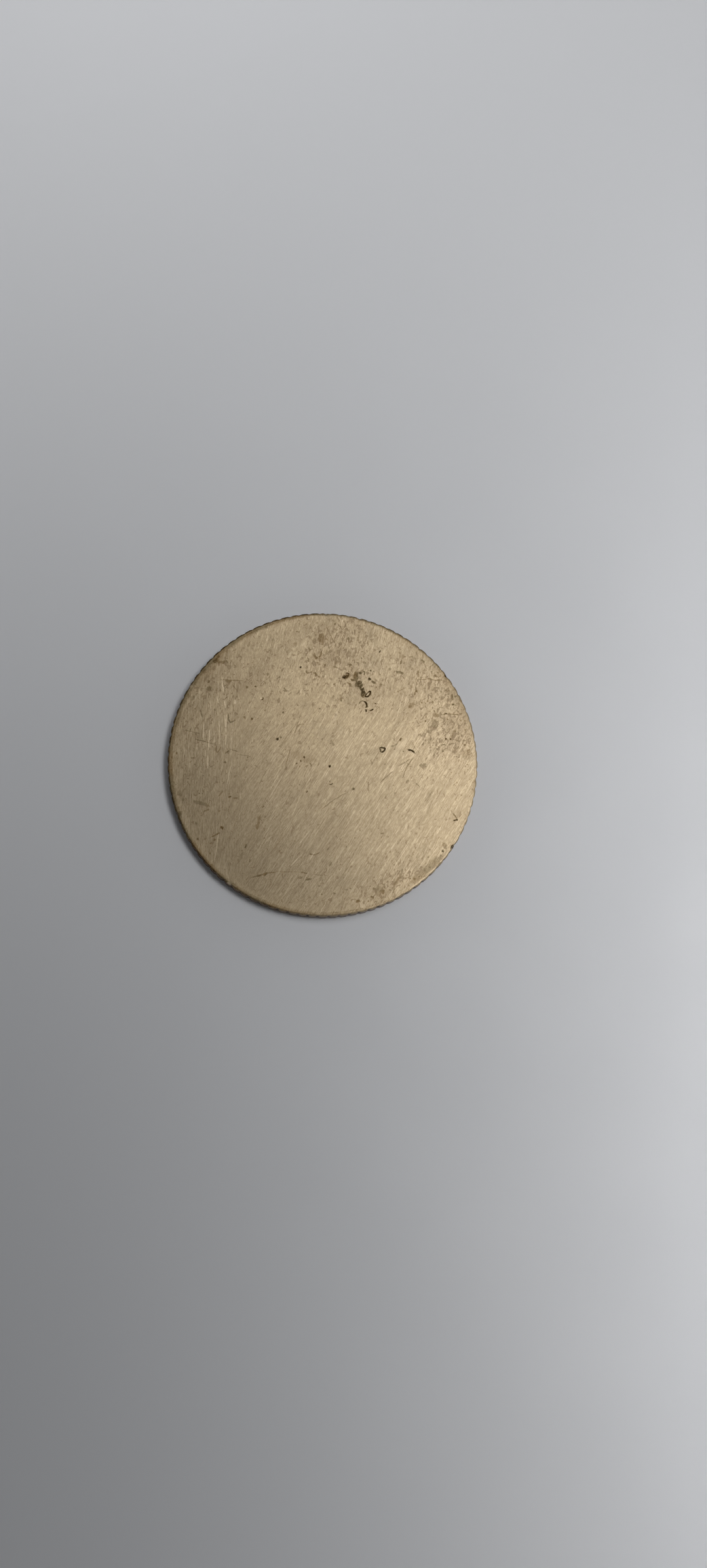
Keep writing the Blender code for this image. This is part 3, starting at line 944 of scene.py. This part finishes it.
def brass_material():
    """Rubbed brass: pale and dull flecks, brown and olive tarnish, dirty marks and a dark reeded edge, with
    broad painted light and shade on the upper face, and painted shade and highlights on the rim and wall.
    """
    material = bpy.data.materials.new("worn_brass")
    material.use_nodes = True
    s = Shader(material.node_tree)
    dark, shine, age, painted_light_and_shade, wall, groove = (s.share(name) for name in SHARES)

    flecks = rubbed(s, 0.26, 0.070, warp=0.5)
    dashes = rubbed(s, 1.00, 0.055, warp=0.2)
    pebbles = s.noise(s.even(0.17), detail=3.0, rough=0.6, warp=0.9)
    blots = s.noise(s.stretched(STEEP, 0.38, 0.24), detail=3.0, rough=0.6, warp=0.8)
    grain = s.noise(s.even(0.05), detail=1.0)
    streaks = s.noise(s.stretched(SLANTED, 6.0, 0.32), detail=3.0, rough=0.6)
    clouds = s.noise(s.even(1.6), detail=4.0, rough=0.62)

    tint = s.blend(s.between(s.noise(s.even(2.4)), 0.42, 0.58), BROWN_TARNISH, OLIVE_TARNISH)
    veil = s.between(s.sums("MULTIPLY_ADD", age, 0.24, clouds), 0.50, 0.92, 0.0, 0.32)
    mottle = s.between(s.sums("MULTIPLY_ADD", age, 0.13, blots), 0.61, 0.67, 0.0, 0.58)
    darkened = s.sums("MULTIPLY", dark, s.between(pebbles, 0.30, 0.70, 0.80, 1.20))
    # Brown tint for stains, and for tarnish and painted shade on the rim and wall
    stain_and_shade = s.ramp(darkened, 0.0, 0.80)
    # Dirt in marks and grooves, and painted shade on the rim and wall
    dirt_and_shade_fill = s.sums("MAXIMUM", s.ramp(darkened, 0.70, 1.05), s.between(groove, 0.30, 0.95, 0.0, 0.80))

    colour = s.blend(s.between(flecks, 0.42, 0.60), BRASS, PALE_BRASS)
    colour = s.blend(s.between(dashes, 0.36, 0.44, 0.55, 0.0), colour, DULL_BRASS)
    colour = s.blend(s.between(dashes, 0.57, 0.66, 0.0, 0.55), colour, POLISHED_BRASS_AND_HIGHLIGHT)
    colour = s.blend(s.between(streaks, 0.45, 0.72, 0.0, 0.40), colour, DULL_BRASS)
    # Broad painted light and shade over the upper face
    colour = s.scaled(colour, s.ramp(painted_light_and_shade, 0.0, 1.0, *PAINTED_LIGHT_AND_SHADE_REACH))
    colour = s.blend(veil, colour, tint)
    colour = s.blend(mottle, colour, BROWN_TARNISH)
    colour = s.blend(stain_and_shade, colour, tint)
    colour = s.blend(s.between(wall, 0.45, 0.95), colour, EDGE_TARNISH)
    # Bright scratches, rim polish with a painted highlight, and painted glints
    colour = s.blend(shine, colour, POLISHED_BRASS_AND_HIGHLIGHT)
    # Dirt, and painted shade on the rim and wall
    colour = s.blend(dirt_and_shade_fill, colour, DIRT_AND_SHADE)

    worn = s.sums("MAXIMUM", veil, s.sums("MAXIMUM", mottle, stain_and_shade))
    dulled = s.sums("MAXIMUM", stain_and_shade, dirt_and_shade_fill)
    rough = s.level(worn, s.between(flecks, 0.3, 0.7, *RUBBED_ROUGHNESS), TARNISH_ROUGHNESS)
    rough = s.level(shine, rough, BRIGHT_ROUGHNESS)
    rough = s.level(dirt_and_shade_fill, rough, DIRT_ROUGHNESS)

    normal = s.bump(flecks, 0.004)
    normal = s.bump(s.sums("MULTIPLY", pebbles, s.between(age, 0.0, 1.0, 0.3, 1.0)), 0.006, normal)
    normal = s.bump(grain, 0.0015, normal)

    surface = material.node_tree.nodes["Principled BSDF"]
    surface.inputs["Metallic"].default_value = METALLIC
    s.fill(surface.inputs["Specular IOR Level"], s.level(dulled, SKIN_GLOSS, DIRT_GLOSS))
    s.fill(surface.inputs["Base Color"], colour)
    s.fill(surface.inputs["Roughness"], rough)
    s.fill(surface.inputs["Normal"], normal)
    return material


def floor_material():
    """Smooth pale board with a faint cloudy gloss."""
    material = bpy.data.materials.new("pale_floor")
    material.use_nodes = True
    s = Shader(material.node_tree)
    surface = material.node_tree.nodes["Principled BSDF"]
    surface.inputs["Base Color"].default_value = FLOOR_COLOUR
    s.fill(surface.inputs["Roughness"], s.between(s.noise(s.even(9.0)), 0.3, 0.7, 0.55, 0.62))
    return material


def add_floor():
    """A wide pale board just under the token."""
    reach = FLOOR_REACH
    corners = [(-reach, -reach, 0), (reach, -reach, 0), (reach, reach, 0), (-reach, reach, 0)]
    mesh = bpy.data.meshes.new("floor")
    mesh.from_pydata(corners, [], [(0, 1, 2, 3)])
    mesh.materials.append(floor_material())
    floor = bpy.data.objects.new("floor", mesh)
    floor.location.z = -FLOOR_GAP
    bpy.context.scene.collection.objects.link(floor)


class Light(NamedTuple):
    """A round soft light with a grid in front that keeps its beam narrow."""

    name: str
    place: tuple
    aim: tuple  # place on the floor
    size: float
    energy: float  # watts
    beam: float  # degrees


LIGHTS = (
    Light("key_light", (0.72, 0.01, 1.87), (0, 0, 0), size=0.53, energy=5.5, beam=180),
    Light("right_light", (0.112, 0.000, 0.238), (0.128, -0.032, 0), size=0.12, energy=0.133, beam=52),
    Light("top_light", (0.026, 0.072, 0.182), (-0.033, 0.120, 0), size=0.10, energy=0.051, beam=84),
)


def add_light(light):
    """Adds one light and turns it to its aim."""
    data = bpy.data.lights.new(light.name, "AREA")
    data.shape = "DISK"
    data.size = light.size
    data.energy = light.energy
    data.spread = math.radians(light.beam)
    lamp = bpy.data.objects.new(light.name, data)
    lamp.location = light.place
    lamp.rotation_mode = "QUATERNION"
    lamp.rotation_quaternion = (Vector(light.aim) - lamp.location).to_track_quat("-Z", "Y")
    lamp.visible_camera = False
    bpy.context.scene.collection.objects.link(lamp)


def add_world():
    """A dim room: dark overhead, and paler towards the horizon."""
    world = bpy.data.worlds.new("studio")
    world.use_nodes = True
    s = Shader(world.node_tree)
    direction = s.node("ShaderNodeTexCoord", {}, output="Generated")
    height = s.node("ShaderNodeSeparateXYZ", {0: direction}, output=2)
    sky = world.node_tree.nodes["Background"]
    sky.inputs["Color"].default_value = SKY_COLOUR
    s.fill(sky.inputs["Strength"], s.between(height, *SKY_FADE, SKY_HORIZON, SKY_OVERHEAD))
    bpy.context.scene.world = world


def add_camera(face_height):
    """Looks down on the token so that its middle falls on the picture's own pixel."""
    data = bpy.data.cameras.new("camera")
    data.lens = LENS
    data.sensor_width = SENSOR
    data.clip_start = MM
    camera = bpy.data.objects.new("camera", data)
    across = (PICTURE[0] / 2 - TOKEN_MIDDLE[0]) / PIXELS_PER_MM * MM
    up_the_picture = (TOKEN_MIDDLE[1] - PICTURE[1] / 2) / PIXELS_PER_MM * MM
    aim = Vector((across, up_the_picture, face_height))
    lean = math.sin(CAMERA_TILT)
    back = Vector((lean * math.cos(CAMERA_WAY), lean * math.sin(CAMERA_WAY), math.cos(CAMERA_TILT)))
    right = Vector((0, 1, 0)).cross(back).normalized()
    turn = Matrix((right, back.cross(right), back)).transposed().to_4x4()
    distance = LENS / SENSOR * PICTURE[1] / PIXELS_PER_MM * MM
    camera.matrix_world = Matrix.Translation(aim + back * distance) @ turn
    bpy.context.scene.collection.objects.link(camera)
    bpy.context.scene.camera = camera


def main():
    """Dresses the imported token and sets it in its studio."""
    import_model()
    low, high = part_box(TOKEN_NODE)
    add_camera(high.z)
    token = dressed_token(low, high)
    token.data.materials.append(brass_material())
    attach(token, "root")
    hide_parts(TOKEN_NODE)
    add_floor()
    for light in LIGHTS:
        add_light(light)
    add_world()
    bpy.context.scene.view_settings.view_transform = "Standard"


main()
